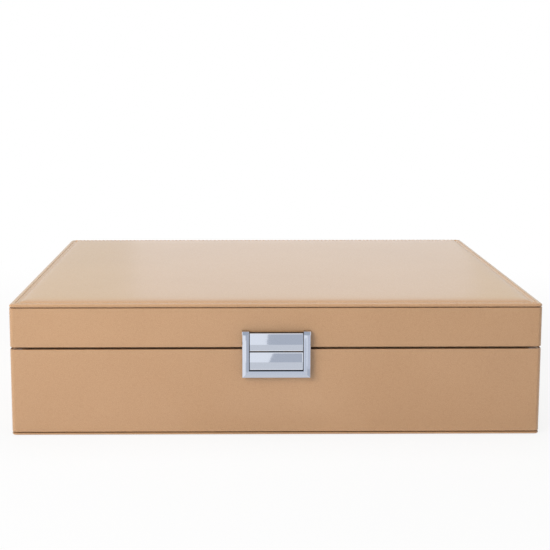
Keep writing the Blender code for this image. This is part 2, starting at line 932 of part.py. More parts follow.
def make_button():
    """The push plate, its guide block with a pocket for the spring, and the hook above it."""
    button = make_plate(
        "clasp_button", button_low_z, button_top_z, plate_rear, button_slope_height, button_pivot
    )
    half = guide_width / 2
    overlap = button_plate_thickness / 2
    guide = block(
        "button_guide",
        (-half, proud(plate_rear + overlap), guide_low_z),
        (half, proud(-guide_rear_depth), guide_top_z),
    )
    hook_half = hook_width / 2
    hook_top_z = guide_top_z + hook_height
    arm_front = hook_arm_thickness - guide_rear_depth
    nose_front = tongue_rear - fit_gap
    # the hook from its side: an arm, and a nose with a sloping top that catches in the tongue's window
    hook_outline = [
        (proud(-guide_rear_depth), guide_top_z - overlap),
        (proud(-guide_rear_depth), hook_top_z),
        (proud(arm_front), hook_top_z),
        (proud(nose_front), hook_top_z - hook_nose_height / 2),
        (proud(nose_front), hook_top_z - hook_nose_height),
        (proud(arm_front), hook_top_z - hook_nose_height),
        (proud(arm_front), guide_top_z - overlap),
    ]
    hook = extruded("button_hook", hook_outline, 2 * hook_half, place=end_on)
    spring_z = (guide_low_z + guide_top_z) / 2
    pocket_radius = spring_radius + fit_gap
    pocket_end = spring_pocket_depth - guide_rear_depth
    pocket_profile = [
        (0, pocket_end),
        (pocket_radius, pocket_end),
        (pocket_radius, -guide_rear_depth - cut_overrun),
        (0, -guide_rear_depth - cut_overrun),
    ]
    forward = Matrix.Translation((0, front_y, spring_z)) @ Matrix.Rotation(math.radians(90), 4, "X")
    pocket = turned("spring_pocket", pocket_profile, place=forward)
    join(button, guide, hook)
    cut(button, pocket)
    return forward, pocket_end


def make_spring(forward, pocket_end):
    """A helix between the tray's floor and the end of the button's pocket."""
    start = spring_wire_radius + fit_gap - tray_depth
    stop = pocket_end - fit_gap - spring_wire_radius
    coil_radius = spring_radius - spring_wire_radius
    count = spring_turns * points_per_coil
    curve = bpy.data.curves.new("clasp_spring", "CURVE")
    curve.dimensions = "3D"
    curve.bevel_depth = spring_wire_radius
    curve.bevel_resolution = 2
    curve.use_fill_caps = True
    spline = curve.splines.new("POLY")
    spline.points.add(count)
    for number, point in enumerate(spline.points):
        share = number / count
        turn = math.tau * spring_turns * share
        height = start + (stop - start) * share
        point.co = (coil_radius * math.cos(turn), coil_radius * math.sin(turn), height, 1)
    curve.materials.append(steel)
    spring = bpy.data.objects.new("clasp_spring", curve)
    spring.matrix_world = forward
    box_parts.objects.link(spring)


def make_clasp_screws(frame, strike):
    """Screws driven from inside: two into the frame's legs, two into the strike."""
    length = wall_depth + clasp_screw_bite
    sizes = (clasp_screw_radius, clasp_screw_head_radius, clasp_screw_head_depth, length)
    head_y = front_y + wall_depth
    leg_middle = (mouth_half + clasp_width / 2) / 2
    frame_screw_z = lid_gap_height - frame_screw_drop
    strike_screw_z = lid_gap_height + strike_screw_rise
    for side, label in ((-1, "left"), (1, "right")):
        frame_head = (side * leg_middle, head_y, frame_screw_z)
        frame_hole = make_screw(f"clasp_screw_{label}", sizes, frame_head, (0, 1, 0), steel)
        for target in (frame, base_wrap, base_boards["front"]):
            cut(target, frame_hole)
        strike_head = (side * (plate_half - strike_screw_inset), head_y, strike_screw_z)
        strike_hole = make_screw(f"strike_screw_{label}", sizes, strike_head, (0, 1, 0), steel, lid_pivot)
        for target in (strike, lid_wrap, lid_boards["front"]):
            cut(target, strike_hole)


clasp_frame = make_frame()
clasp_strike = make_strike()
make_spring(*make_button())
make_clasp_screws(clasp_frame, clasp_strike)
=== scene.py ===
"""The looks of an eyeglasses storage box: leatherette over board, velvet inside, and a chrome clasp.

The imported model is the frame. The sections follow the box as it is put together, from its bottom board up.
"""

import math

import bmesh
import bpy
from mathutils import Matrix, Vector


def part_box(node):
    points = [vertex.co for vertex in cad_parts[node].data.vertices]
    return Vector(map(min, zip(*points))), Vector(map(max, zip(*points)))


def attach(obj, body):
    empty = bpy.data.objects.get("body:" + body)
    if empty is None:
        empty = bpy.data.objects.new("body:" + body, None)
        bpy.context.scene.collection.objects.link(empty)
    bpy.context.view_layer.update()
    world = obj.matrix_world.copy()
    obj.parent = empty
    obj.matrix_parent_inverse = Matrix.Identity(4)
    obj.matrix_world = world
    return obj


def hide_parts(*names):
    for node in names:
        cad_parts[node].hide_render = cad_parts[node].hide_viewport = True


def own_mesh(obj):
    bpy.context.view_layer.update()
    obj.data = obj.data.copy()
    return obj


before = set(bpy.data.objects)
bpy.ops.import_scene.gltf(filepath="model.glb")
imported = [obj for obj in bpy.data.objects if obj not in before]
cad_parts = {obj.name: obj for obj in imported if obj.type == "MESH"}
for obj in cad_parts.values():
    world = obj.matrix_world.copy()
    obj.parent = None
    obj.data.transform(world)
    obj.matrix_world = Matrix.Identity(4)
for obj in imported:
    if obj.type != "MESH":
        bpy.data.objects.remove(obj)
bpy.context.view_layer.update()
mm = 0.001


# Camera. It stands in front of the box and a little above it, left of its middle, and looks slightly down.
# The shift of its lens puts the box where the photograph has it.

camera = bpy.data.cameras.new("camera")
camera.lens = 67.19
camera.shift_x, camera.shift_y = 0.05, -0.15
camera_stand = bpy.data.objects.new("camera", camera)
camera_stand.location = (-0.0231, -0.7521, 0.2302)
camera_stand.rotation_euler = (math.radians(90 - 6.81), 0, math.radians(-0.46))
bpy.context.scene.collection.objects.link(camera_stand)
bpy.context.scene.camera = camera_stand


# Studio. A pale floor and a white surround, a soft lamp from the left, a weak one from the right and one
# overhead. Away from the box the floor fades to white, and near it the floor keeps the box's shadow.


def srgb(red, green, blue):
    """A colour as a screen shows it, from 0 to 255, turned into the shader's own numbers."""
    shares = [level / 255 for level in (red, green, blue)]
    return tuple(((share + 0.055) / 1.055) ** 2.4 for share in shares) + (1,)


def add(tree, kind, inputs=None, **settings):
    """A shader node whose inputs are given values, or sockets to link from."""
    node = tree.nodes.new("ShaderNode" + kind)
    for name, value in settings.items():
        setattr(node, name, value)
    for name, value in (inputs or {}).items():
        if isinstance(value, bpy.types.NodeSocket):
            tree.links.new(value, node.inputs[name])
        else:
            node.inputs[name].default_value = value
    return node


def spread(tree, value, low, high, source=(0, 1), **settings):
    """A pattern's value, mapped from its own range to another."""
    ends = {"Value": value, "From Min": source[0], "From Max": source[1], "To Min": low, "To Max": high}
    return add(tree, "MapRange", ends, **settings).outputs["Result"]


def seen_directly(tree):
    """1 for what the camera sees, also in metal, and 0 for the light that falls on things."""
    rays = add(tree, "LightPath").outputs
    either = add(tree, "Math", {0: rays["Is Camera Ray"], 1: rays["Is Glossy Ray"]}, use_clamp=True)
    any_of = add(tree, "Math", {0: either.outputs[0], 1: rays["Is Transmission Ray"]}, use_clamp=True)
    return any_of.outputs[0]


ambient_level = 0.25
bpy.context.scene.view_settings.view_transform = "Standard"
world = bpy.data.worlds.new("studio")
world.use_nodes = True
bpy.context.scene.world = world
sky = world.node_tree
sky.nodes.clear()
ambient = add(sky, "Background", {"Color": (1, 1, 1, 1), "Strength": ambient_level})
backdrop = add(sky, "Background", {"Color": (1, 1, 1, 1), "Strength": 1})
surround = add(sky, "MixShader", {0: seen_directly(sky), 1: ambient.outputs[0], 2: backdrop.outputs[0]})
add(sky, "OutputWorld", {"Surface": surround.outputs[0]})


def stage_sheet(name, corners, material):
    """A flat sheet of the studio between some corners."""
    shape = bmesh.new()
    shape.faces.new([shape.verts.new(corner) for corner in corners])
    mesh = bpy.data.meshes.new(name)
    shape.to_mesh(mesh)
    shape.free()
    mesh.materials.append(material)
    sheet = bpy.data.objects.new(name, mesh)
    bpy.context.scene.collection.objects.link(sheet)
    return sheet


floor_half = 5
white_near, white_far = 0.2, 0.55
lift_near = 0.85
floor_paint = bpy.data.materials.new("pale_floor")
floor_paint.use_nodes = True
paint = floor_paint.node_tree
paint.nodes.clear()
from_box = add(paint, "VectorMath", {0: add(paint, "TexCoord").outputs["Object"]}, operation="LENGTH")
fading = (white_near, white_far)
lift = spread(paint, from_box.outputs["Value"], lift_near, 1, fading, interpolation_type="SMOOTHSTEP")
shown = add(paint, "Math", {0: seen_directly(paint), 1: lift}, operation="MULTIPLY")
matt = add(paint, "BsdfDiffuse", {"Color": (0.86, 0.86, 0.86, 1)})
white = add(paint, "Emission", {"Color": (1, 1, 1, 1), "Strength": 1})
floor_mix = add(paint, "MixShader", {0: shown.outputs[0], 1: matt.outputs[0], 2: white.outputs[0]})
add(paint, "OutputMaterial", {"Surface": floor_mix.outputs[0]})
stage_sheet(
    "floor",
    [(x * floor_half, y * floor_half, 0) for x, y in ((-1, -1), (1, -1), (1, 1), (-1, 1))],
    floor_paint,
)


def add_softbox(name, place, aim, size, power):
    """A square lamp that faces a point."""
    lamp = bpy.data.lights.new(name, "AREA")
    lamp.size = size
    lamp.energy = power
    stand = bpy.data.objects.new(name, lamp)
    stand.location = place
    stand.rotation_euler = (Vector(aim) - Vector(place)).to_track_quat("-Z", "Y").to_euler()
    stand.visible_glossy = False
    bpy.context.scene.collection.objects.link(stand)


lamp_aim = (0, 0, 0.04)
add_softbox("key_softbox", (-0.95, -1.1, 0.75), lamp_aim, 0.9, 18)
add_softbox("fill_softbox", (1.5, -1.3, 0.7), lamp_aim, 1.0, 2.5)
add_softbox("top_softbox", (0.0, 0.2, 1.8), lamp_aim, 1.2, 14)


def add_card(name, corners, colour):
    """A card that shows only in shiny things, as those do that are set up before chrome."""
    material = bpy.data.materials.new(name)
    material.use_nodes = True
    tree = material.node_tree
    tree.nodes.clear()
    glow = add(tree, "Emission", {"Color": colour, "Strength": 1})
    add(tree, "OutputMaterial", {"Surface": glow.outputs[0]})
    card = stage_sheet(name, corners, material)
    card.visible_camera = card.visible_diffuse = card.visible_shadow = False
    card.visible_transmission = card.visible_volume_scatter = False


card_lift = 1 * mm
strip_lift = 2 * mm


def add_floor_card(name, outline, colour, lift=card_lift):
    """A card just above the floor, from its corners' places."""
    add_card(name, [(x, y, lift) for x, y in outline], colour)


def add_wall_card(name, left, right, y, low, high, colour):
    """An upright card across the studio."""
    add_card(name, [(left, y, low), (right, y, low), (right, y, high), (left, y, high)], colour)


# cards on the floor: the line between the pale one and the grey one shows in both plates of the clasp
far_card_edge = [(-0.0005, -0.27), (0.0002, -0.292), (0.0012, -0.299), (0.0033, -0.311), (0.0054, -0.3215)]
far_card_edge += [(0.0015, -0.331), (0.0, -0.348), (0.0012, -0.366), (0.0027, -0.386)]
far_card = [*far_card_edge, (0.08, -0.95), (1.1, -0.95), (1.1, -0.27)]
left_card = [(-1.1, -0.95), (0.08, -0.95), *far_card_edge[::-1], (-0.06, -0.27), (-0.06, -0.13), (-1.1, -0.13)]
near_card = [(-0.06, -0.27), (0.06, -0.27), (0.06, -0.13), (-0.06, -0.13)]
right_card = [(0.06, -0.27), (1.1, -0.27), (1.1, -0.13), (0.06, -0.13)]
add_floor_card("far_card", far_card, srgb(187, 193, 204))
add_floor_card("left_card", left_card, srgb(243, 247, 253))
add_floor_card("near_card", near_card, srgb(215, 219, 225))
add_floor_card("right_card", right_card, srgb(185, 192, 204))
# narrow strips above them, for the bright borders of the plates and the sides of the legs
edge_strip = [(-0.04, -0.2), (0.04, -0.2), (0.04, -0.166), (-0.04, -0.166)]
side_strip = [(0.055, -0.27), (0.078, -0.27), (0.1, -0.39), (0.07, -0.39)]
leg_strip = [(-0.05, -0.245), (-0.095, -0.235), (-0.145, -0.33), (-0.1, -0.33)]
outer_strip = [(0.108, -0.23), (0.24, -0.23), (0.24, -0.36), (0.15, -0.36)]
add_floor_card("edge_strip", edge_strip, srgb(255, 255, 255), strip_lift)
add_floor_card("side_strip", side_strip, srgb(250, 252, 255), strip_lift)
add_floor_card("leg_strip", leg_strip, srgb(206, 213, 226), strip_lift)
add_floor_card("outer_strip", outer_strip, srgb(206, 212, 224), strip_lift)
# the cards in front, behind and overhead
add_wall_card("front_card", -1.6, 1.6, -1.4, 0.25, 1.2, srgb(210, 216, 226))
add_wall_card("upper_card", -1.6, 1.6, -1.4, 1.2, 2.8, srgb(168, 176, 189))
add_wall_card("back_left_card", -1.8, -0.26, 1.5, 0, 0.36, srgb(232, 232, 230))
add_wall_card("back_right_card", 0.5, 1.8, 1.5, 0, 0.36, srgb(232, 232, 230))
add_wall_card("back_upper_left", -1.8, -0.26, 1.5, 0.36, 1, srgb(244, 241, 224))
add_wall_card("back_upper_card", -0.26, 0.5, 1.5, 0.36, 1, srgb(252, 251, 245))
add_wall_card("back_upper_right", 0.5, 1.8, 1.5, 0.36, 1, srgb(244, 241, 224))
overhead = [(-0.7, -0.9, 1), (0.7, -0.9, 1), (0.7, -0.15, 1), (-0.7, -0.15, 1)]
add_card("overhead_card", overhead, srgb(176, 184, 196))


# Bottom board. Stiff board wrapped in tan leatherette, which rounds its edges. The walls of the base are glued
# down on it, and it shows as a thin line all round.


def new_material(name):
    material = bpy.data.materials.new(name)
    material.use_nodes = True
    return material, material.node_tree, material.node_tree.nodes["Principled BSDF"]


def blend_colours(tree, share, first, second):
    mix = add(tree, "Mix", {"Factor": share}, data_type="RGBA")
    for name, value in (("A", first), ("B", second)):
        socket = next(s for s in mix.inputs if s.name == name and s.type == "RGBA")
        if isinstance(value, bpy.types.NodeSocket):
            tree.links.new(value, socket)
        else:
            socket.default_value = value
    return next(s for s in mix.outputs if s.type == "RGBA")


def make_leatherette():
    """Coated fabric: fine pebbles with creases between them, painted a little darker as shade, faint blotches,
    and a satin top coat.
    """
    material, tree, shader = new_material("tan_leatherette")
    place = add(tree, "TexCoord").outputs["Object"]
    sway = add(tree, "TexNoise", {"Vector": place, "Scale": 420, "Detail": 2})
    bent = add(tree, "VectorMath", {0: sway.outputs["Color"], 1: (0.0011,) * 3}, operation="MULTIPLY")
    crooked = add(tree, "VectorMath", {0: place, 1: bent.outputs[0]}, operation="ADD").outputs[0]
    pebbles = add(tree, "TexVoronoi", {"Vector": crooked, "Scale": 1250}, feature="DISTANCE_TO_EDGE")
    pebble = spread(tree, pebbles.outputs["Distance"], 0, 1, (0, 0.22))
    blotches = add(tree, "TexNoise", {"Vector": place, "Scale": 11, "Detail": 3, "Roughness": 0.55})
    blotch = spread(tree, blotches.outputs["Fac"], 0, 1, (0.3, 0.7))
    tan = blend_colours(tree, blotch, srgb(192, 150, 109), srgb(197, 155, 114))
    # the creases between the pebbles take a darker tan: painted shade
    crease_shade_tan = blend_colours(tree, blotch, srgb(182, 138, 96), srgb(187, 143, 101))
    tree.links.new(blend_colours(tree, pebble, crease_shade_tan, tan), shader.inputs["Base Color"])
    specks = add(tree, "TexNoise", {"Vector": place, "Scale": 900, "Detail": 2})
    tree.links.new(spread(tree, specks.outputs["Fac"], 0.3, 0.4), shader.inputs["Roughness"])
    shader.inputs["Coat Weight"].default_value = 0.8
    shader.inputs["Coat Roughness"].default_value = 0.2
    ripple = add(tree, "TexNoise", {"Vector": place, "Scale": 38, "Detail": 2})
    height = add(tree, "Math", {0: ripple.outputs["Fac"], 1: 5.0, 2: pebble}, operation="MULTIPLY_ADD")
    bump = add(tree, "Bump", {"Strength": 0.16, "Distance": 0.00005, "Height": height.outputs[0]})
    tree.links.new(bump.outputs[0], shader.inputs["Normal"])
    return material


leatherette = make_leatherette()


def box_shape(low, high):
    middle, span = (low + high) / 2, high - low
    shape = bmesh.new()
    bmesh.ops.create_cube(shape, size=1, matrix=Matrix.Translation(middle) @ Matrix.Diagonal((*span, 1)))
    return shape


def round_edges(shape, edges, radius, segments):
    return bmesh.ops.bevel(
        shape, geom=edges, offset=radius, segments=segments, profile=0.5, affect="EDGES", material=-1
    )


tolerance = 0.01 * mm


def at_height(edge, level):
    return all(abs(vert.co.z - level) < tolerance for vert in edge.verts)


def new_piece(name, shape, body, material, slot, *nodes, crease=38):
    """Makes an object of a shape, shades it, hangs it on a body and hides the nodes that it stands for."""
    mesh = bpy.data.meshes.new(name)
    bmesh.ops.recalc_face_normals(shape, faces=shape.faces)
    shape.to_mesh(mesh)
    shape.free()
    mesh.materials.append(material)
    mesh.shade_smooth()
    mesh.set_sharp_from_angle(angle=math.radians(crease))
    piece = bpy.data.objects.new(name, mesh)
    bpy.context.scene.collection.objects.link(piece)
    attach(piece, body)
    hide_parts(*nodes)
    return piece


def even_shading(piece):
    """Flat faces are shaded flat, right up to the small rounds beside them."""
    weighted = piece.modifiers.new("even_shading", "WEIGHTED_NORMAL")
    weighted.keep_sharp = True


corner_radius = 3 * mm
inner_corner_radius = 1.2 * mm


def rounded_outline(shape, low, high, inset, level):
    """The board's outline, drawn in from its edge, with round corners."""
    middle, span = (low + high) / 2, high - low
    place = Matrix.Translation((middle.x, middle.y, level * mm))
    size = Matrix.Diagonal((span.x / 2 - inset * mm, span.y / 2 - inset * mm, 1, 1))
    sheet = bmesh.ops.create_grid(shape, x_segments=1, y_segments=1, size=1, matrix=place @ size)
    radius = max(corner_radius - inset * mm, inner_corner_radius)
    bmesh.ops.bevel(
        shape, geom=sheet["verts"], offset=radius, segments=8, profile=0.5, affect="VERTICES", material=-1
    )
    face = next(iter(shape.faces))
    edges = list(face.edges)
    bmesh.ops.delete(shape, geom=[face], context="FACES_ONLY")
    return edges


def wrapped_edge(low, high, section, closed):
    """An edge that runs all round, its section a row of points: distance in from the outline, and height."""
    shape = bmesh.new()
    outlines = [rounded_outline(shape, low, high, inset, level) for inset, level in section]
    for first, second in zip(outlines, outlines[1:]):
        bmesh.ops.bridge_loops(shape, edges=[*first, *second])
    for outline in (outlines[0], outlines[-1]) if closed else ():
        bmesh.ops.contextual_create(shape, geom=outline)
    return shape


# from the glued face down over the rebate, round the edge and under
bottom_section = ((1.6, 1.8), (1.6, 1.7), (0.35, 1.65), (0.1, 1.55), (0, 1.3))
bottom_section += ((0, 1.1), (0.12, 0.72), (0.4, 0.44), (0.85, 0.3))
low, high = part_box("base_board")
bottom_shape = wrapped_edge(low, high, bottom_section, True)
bottom_board = new_piece("bottom_board", bottom_shape, "base", leatherette, "leatherette", "base_board")
even_shading(bottom_board)


# Wall boards. Plain grey board, rebated at the corners and glued. The leatherette covers them, so they show only
# in the pockets that are cut for the hinges.


def dress(material, *names):
    """Gives CAD nodes a finish."""
    for name in names:
        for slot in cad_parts[name].material_slots:
            slot.material = material


def make_greyboard():
    material, tree, shader = new_material("grey_board")
    place = add(tree, "TexCoord").outputs["Object"]
    fibres = add(tree, "TexNoise", {"Vector": place, "Scale": 700, "Detail": 4, "Roughness": 0.7})
    fibre = spread(tree, fibres.outputs["Fac"], 0, 1, (0.3, 0.7))
    colour = blend_colours(tree, fibre, srgb(140, 128, 110), srgb(168, 156, 137))
    tree.links.new(colour, shader.inputs["Base Color"])
    shader.inputs["Roughness"].default_value = 0.9
    bump = add(tree, "Bump", {"Strength": 0.4, "Distance": 0.0001, "Height": fibre})
    tree.links.new(bump.outputs[0], shader.inputs["Normal"])
    return material


wall_places = ("front", "back", "left", "right")
dress(make_greyboard(), *(f"{part}_{place}_board" for part in ("base", "lid") for place in wall_places))


# Leatherette bands of the base and the lid. Each is one strip wrapped round its walls and turned in over the rim,
# mitred at the corners. Pockets are cut in both rims for the hinges, and the base has a window for the clasp.

wrap_thickness = 0.9 * mm
flange_width = 6.2 * mm
base_band_lift = 0.25 * mm
lid_band_rise = 0.25 * mm
mitre_depth = 0.15 * mm
shortest_mitre = 2 * mm
pocket_room = 0.3 * mm
window_half = 8.4 * mm
window_low, window_high = 42.4 * mm, 53.9 * mm
cut_tolerance = 0.001 * mm
# across the rim from the flange's inner edge: distance in, and a share of the flange's dip
rim_dip = ((6.2, 1.1), (1.6, 1), (1.25, 0.92), (0.95, 0.68), (0.7, 0.34), (0.5, 0.09), (0.35, 0))
# round the rim's edge, and round the band's other edge: distance in, and distance from the edge's level
rim_turn = ((0.2, 0.05), (0.06, 0.2), (0, 0.4))
far_turn = ((0, 0.4), (0.06, 0.2), (0.2, 0.05), (0.4, 0), (1.15, 0.06))


def cut_between(shape, faces, axis, low, high):
    """Cuts faces along two planes across an axis and gives back those that lie between the planes."""
    for level in (low, high):
        point, direction = Vector(), Vector()
        point[axis], direction[axis] = level, 1
        geometry = {item for face in faces for item in (face, *face.edges, *face.verts)}
        cut = bmesh.ops.bisect_plane(
            shape, geom=list(geometry), dist=cut_tolerance, plane_co=point, plane_no=direction
        )
        faces = [item for item in cut["geom"] if isinstance(item, bmesh.types.BMFace)]
    return [face for face in faces if low < face.calc_center_median()[axis] < high]


def fold_mitres(shape, level, inward):
    """Presses a shallow crease along the flange's four mitres, where the strip was cut and folded."""
    creased = set()
    for edge in shape.edges:
        along = edge.verts[1].co - edge.verts[0].co
        diagonal = abs(abs(along.x) - abs(along.y)) < 3 * tolerance
        if diagonal and along.length > shortest_mitre and abs(edge.verts[0].co.z - level) < 10 * tolerance:
            creased.update(edge.verts)
    for vert in creased:
        vert.co.z += inward * mitre_depth


def make_band(name, node, body, rim_rise, dip):
    """A band. Its rim lies rim_rise above its node's, and its flange lies dip deeper than the rim, in mm."""
    low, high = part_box(node)
    if body == "base":
        inward = -1
        low.z += base_band_lift
        high.z += rim_rise * mm
        rim_z, far_z = high.z, low.z
    else:
        inward = 1
        high.z += lid_band_rise
        low.z += rim_rise * mm
        rim_z, far_z = low.z, high.z
    section = [(inset, rim_z / mm + inward * share * dip) for inset, share in rim_dip]
    section += [(inset, rim_z / mm + inward * depth) for inset, depth in rim_turn]
    section += [(inset, far_z / mm - inward * depth) for inset, depth in far_turn]
    shape = wrapped_edge(low, high, section, False)
    fold_mitres(shape, rim_z + inward * dip * mm, inward)
    # the pockets for the hinge leaves go through the flange and down to the wall boards
    pocket_depth = wrap_thickness + pocket_room
    for side in ("left", "right"):
        leaf_low, leaf_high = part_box(f"hinge_base_leaf_{side}")
        behind = [face for face in shape.faces if face.calc_center_median().y > high.y - flange_width]
        between = cut_between(shape, behind, 0, leaf_low.x - pocket_room, leaf_high.x + pocket_room)
        pocket = cut_between(shape, between, 2, rim_z - pocket_depth, rim_z + pocket_depth)
        bmesh.ops.delete(shape, geom=pocket, context="FACES")
    if body == "base":
        front = [face for face in shape.faces if face.calc_center_median().y < low.y + tolerance]
        columns = cut_between(shape, front, 0, -window_half, window_half)
        window = cut_between(shape, columns, 2, window_low, window_high)
        bmesh.ops.delete(shape, geom=window, context="FACES")
    band = new_piece(name, shape, body, leatherette, "leatherette", node)
    wall = band.modifiers.new("thickness", "SOLIDIFY")
    wall.thickness = wrap_thickness
    wall.offset = -1
    wall.use_even_offset = True
    even_shading(band)


make_band("base_band", "base_wrap", "base", 0.14, 0.7)
make_band("lid_band", "lid_wrap", "lid", 0.54, 0.3)


# Underside sheet. Dark flock paper glued into a shallow recess of the bottom board, which the box stands on.


def make_flock():
    material, tree, shader = new_material("dark_flock")
    place = add(tree, "TexCoord").outputs["Object"]
    tufts = add(tree, "TexNoise", {"Vector": place, "Scale": 1600, "Detail": 3, "Roughness": 0.8})
    tuft = spread(tree, tufts.outputs["Fac"], 0, 1, (0.35, 0.65))
    tree.links.new(blend_colours(tree, tuft, srgb(38, 35, 33), srgb(66, 62, 58)), shader.inputs["Base Color"])
    shader.inputs["Roughness"].default_value = 0.95
    shader.inputs["Sheen Weight"].default_value = 0.3
    bump = add(tree, "Bump", {"Strength": 0.5, "Distance": 0.0002, "Height": tuft})
    tree.links.new(bump.outputs[0], shader.inputs["Normal"])
    return material


dress(make_flock(), "underside_sheet")


# Top board. A thin board padded with foam and wrapped in leatherette, stitched all round near its edge, so that
# the padding falls away into the line of stitches. It is glued on the lid's walls, with a dark seam under it.

# from the glued face out under the edge, round it, over the lip, down into the valley and up the padding
top_section = ((1.3, 82.3), (1.3, 82.95), (0.35, 82.9), (0.1, 83.0), (0, 83.25), (0, 83.5), (0.1, 83.88))
top_section += ((0.35, 84.22), (0.75, 84.5), (1.3, 84.7), (2.0, 84.82), (2.7, 84.87), (3.4, 84.83))
top_section += ((4.0, 84.69), (4.5, 84.5), (4.9, 84.42), (5.3, 84.52), (5.9, 84.82), (6.6, 85.14))
top_section += ((7.5, 85.42), (8.7, 85.62), (10.4, 85.77), (12.8, 85.87), (17, 85.95), (26, 86.0))

low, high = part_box("lid_top_board")
top_shape = wrapped_edge(low, high, top_section, True)
top_board = new_piece("top_board", top_shape, "lid", leatherette, "leatherette", "lid_top_board")
even_shading(top_board)


# Stitching of the top board. Waxed thread, a little lighter than the leatherette, in one line all round that
# sinks in at both ends of each stitch.

stitch_inset = 3.3 * mm
stitch_pitch = 3.3 * mm
stitch_length = 2.7 * mm
thread_radius = 0.27 * mm
stitch_level = 84.86 * mm


def make_thread():
    material, tree, shader = new_material("waxed_thread")
    place = add(tree, "TexCoord").outputs["Object"]
    wave = {"Vector": place, "Scale": 1100, "Distortion": 1.5}
    strand = add(tree, "TexWave", wave, bands_direction="DIAGONAL").outputs["Fac"]
    colour = blend_colours(tree, strand, srgb(190, 154, 119), srgb(210, 178, 145))
    tree.links.new(colour, shader.inputs["Base Color"])
    shader.inputs["Roughness"].default_value = 0.55
    bump = add(tree, "Bump", {"Strength": 0.4, "Distance": 0.00006, "Height": strand})
    tree.links.new(bump.outputs[0], shader.inputs["Normal"])
    return material


def make_stitch():
    shape = bmesh.new()
    size = Matrix.Diagonal((stitch_length / 2, thread_radius, thread_radius, 1))
    bmesh.ops.create_uvsphere(shape, u_segments=8, v_segments=6, radius=1, matrix=size)
    mesh = bpy.data.meshes.new("stitch")
    shape.to_mesh(mesh)
    shape.free()
    return mesh


def stitch_row(shape, stitch, start, end):
    """Evenly spaced stitches between two corners of the stitched line."""
    run = end - start
    count = round(run.length / stitch_pitch)
    turn = Matrix.Rotation(math.atan2(run.y, run.x), 4, "Z")
    for number in range(count):
        copy = stitch.copy()
        copy.transform(Matrix.Translation(start + run * ((number + 0.5) / count)) @ turn)
        shape.from_mesh(copy)
        bpy.data.meshes.remove(copy)


thread_shape = bmesh.new()
stitch = make_stitch()
near, far = low + Vector((stitch_inset,) * 3), high - Vector((stitch_inset,) * 3)
places = ((near.x, near.y), (far.x, near.y), (far.x, far.y), (near.x, far.y))
corners = [Vector((x, y, stitch_level)) for x, y in places]
for start, end in zip(corners, corners[1:] + corners[:1]):
    stitch_row(thread_shape, stitch, start, end)
bpy.data.meshes.remove(stitch)
new_piece("top_stitching", thread_shape, "lid", make_thread(), "leatherette")


# Linings. Strips of card covered in beige velvet, glued to the walls. Those of the base stand above its rim and
# guide the lid as it closes.


def make_velvet():
    """Short pile: a soft sheen, fine fibres with painted shade deep between them, and lighter and darker patches
    of painted sheen where the pile leans another way.
    """
    material, tree, shader = new_material("beige_velvet")
    place = add(tree, "TexCoord").outputs["Object"]
    sheen_patches = add(tree, "TexNoise", {"Vector": place, "Scale": 34, "Detail": 4, "Distortion": 0.4})
    sheen_patch = spread(tree, sheen_patches.outputs["Fac"], 0, 1, (0.25, 0.75))
    fibres = add(tree, "TexNoise", {"Vector": place, "Scale": 2400, "Detail": 2, "Roughness": 0.8})
    fibre = spread(tree, fibres.outputs["Fac"], 0, 1, (0.3, 0.7))
    # the patches are painted sheen, and the darker fibre tone is painted shade deep in the pile
    pile = blend_colours(tree, sheen_patch, srgb(190, 165, 135), srgb(199, 175, 146))
    pile_shade = blend_colours(tree, sheen_patch, srgb(166, 140, 110), srgb(175, 149, 119))
    tree.links.new(blend_colours(tree, fibre, pile_shade, pile), shader.inputs["Base Color"])
    shader.inputs["Roughness"].default_value = 0.95
    shader.inputs["Sheen Weight"].default_value = 0.5
    shader.inputs["Sheen Roughness"].default_value = 0.4
    bump = add(tree, "Bump", {"Strength": 0.5, "Distance": 0.00015, "Height": fibre})
    tree.links.new(bump.outputs[0], shader.inputs["Normal"])
    return material


velvet = make_velvet()
lining_edge = 0.7 * mm
for place in wall_places:
    for node, body in ((f"lining_{place}", "base"), (f"lid_lining_{place}", "lid")):
        low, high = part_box(node)
        strip = box_shape(low, high)
        free_edge = high.z if body == "base" else low.z
        along_free_edge = [edge for edge in strip.edges if at_height(edge, free_edge)]
        round_edges(strip, along_free_edge, lining_edge, 4)
        even_shading(new_piece(node.replace("lining", "velvet_lining"), strip, body, velvet, "velvet", node))


# Dividers. Board covered in velvet, its top edges softened by the pile. Three rows are slotted over the one that
# runs from front to back.

dress(velvet, "centre_divider", "row_divider_1", "row_divider_2", "row_divider_3")


# Pads. Thin foam in velvet, one in the bottom of each compartment and one under the lid's top board. The cloth
# is drawn tight over the foam, and bulges where nothing holds it.

pad_cell = 3 * mm
pad_side_room = 0.5 * mm
pad_swell = 1.0 * mm
pad_pressure = 4
settling_frames = 20


def along_axis(edge, axis):
    along = edge.verts[1].co - edge.verts[0].co
    return abs(along[axis]) > 0.9 * along.length


